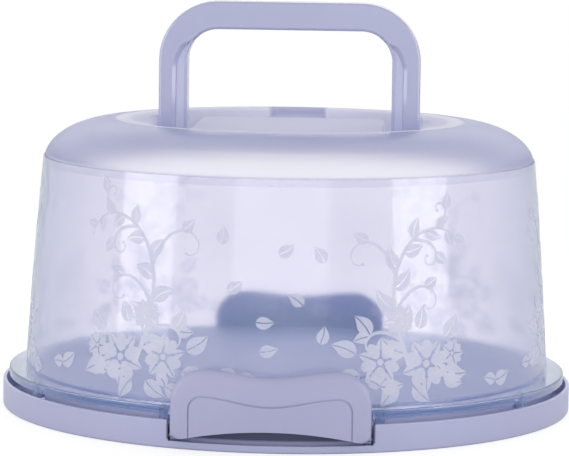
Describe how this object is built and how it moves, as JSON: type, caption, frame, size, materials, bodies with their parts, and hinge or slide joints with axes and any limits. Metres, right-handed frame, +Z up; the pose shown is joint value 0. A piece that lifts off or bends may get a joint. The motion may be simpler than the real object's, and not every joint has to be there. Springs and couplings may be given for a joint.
{
  "type": "cake carrier",
  "caption": "Round cake carrier: a shallow tray, a clear lid with a frosted domed cap, a fold-down carrying handle and hinged latches that hook over the lid's flange.",
  "frame": {"origin": "on the surface that the tray stands on, at the tray's centre", "axes": "+Z up; -Y towards the front latch, +Y towards the rear latch, +X to the right"},
  "size_m": [0.29, 0.2976, 0.206],
  "materials": {
    "tray_plastic": "moulded polypropylene, lavender blue, satin gloss",
    "clear_plastic": "clear, slightly milky plastic with a pale printed vine",
    "cap_plastic": "frosted translucent lavender plastic",
    "handle_plastic": "moulded polypropylene, lavender, satin gloss",
    "latch_plastic": "moulded polypropylene, lavender, satin",
    "pin_plastic": "moulded pin"
  },
  "bodies": {
    "tray": {"base_tray": "tray_plastic"},
    "lid": {"clear_wall": "clear_plastic", "top_cap": "cap_plastic"},
    "handle": {"carry_handle": "handle_plastic", "handle_pins": "pin_plastic"},
    "latch_front": {"front_latch": "latch_plastic", "front_latch_pins": "pin_plastic"},
    "latch_rear": {"rear_latch": "latch_plastic", "rear_latch_pins": "pin_plastic"}
  },
  "joints": [
    {"name": "lid_lift", "type": "slide", "parent": "tray", "child": "lid", "axis": [0, 0, 1], "range_m": [0, 0.16]},
    {"name": "handle_fold", "type": "hinge", "parent": "lid", "child": "handle", "pos_m": [0, -0.004, 0.136], "axis": [-1, 0, 0], "range_deg": [0, 90]},
    {"name": "latch_front_open", "type": "hinge", "parent": "tray", "child": "latch_front", "pos_m": [0, -0.133, 0.0058], "axis": [1, 0, 0], "range_deg": [-7, 30]},
    {"name": "latch_rear_open", "type": "hinge", "parent": "tray", "child": "latch_rear", "pos_m": [0, 0.133, 0.0058], "axis": [-1, 0, 0], "range_deg": [-7, 30]}
  ]
}
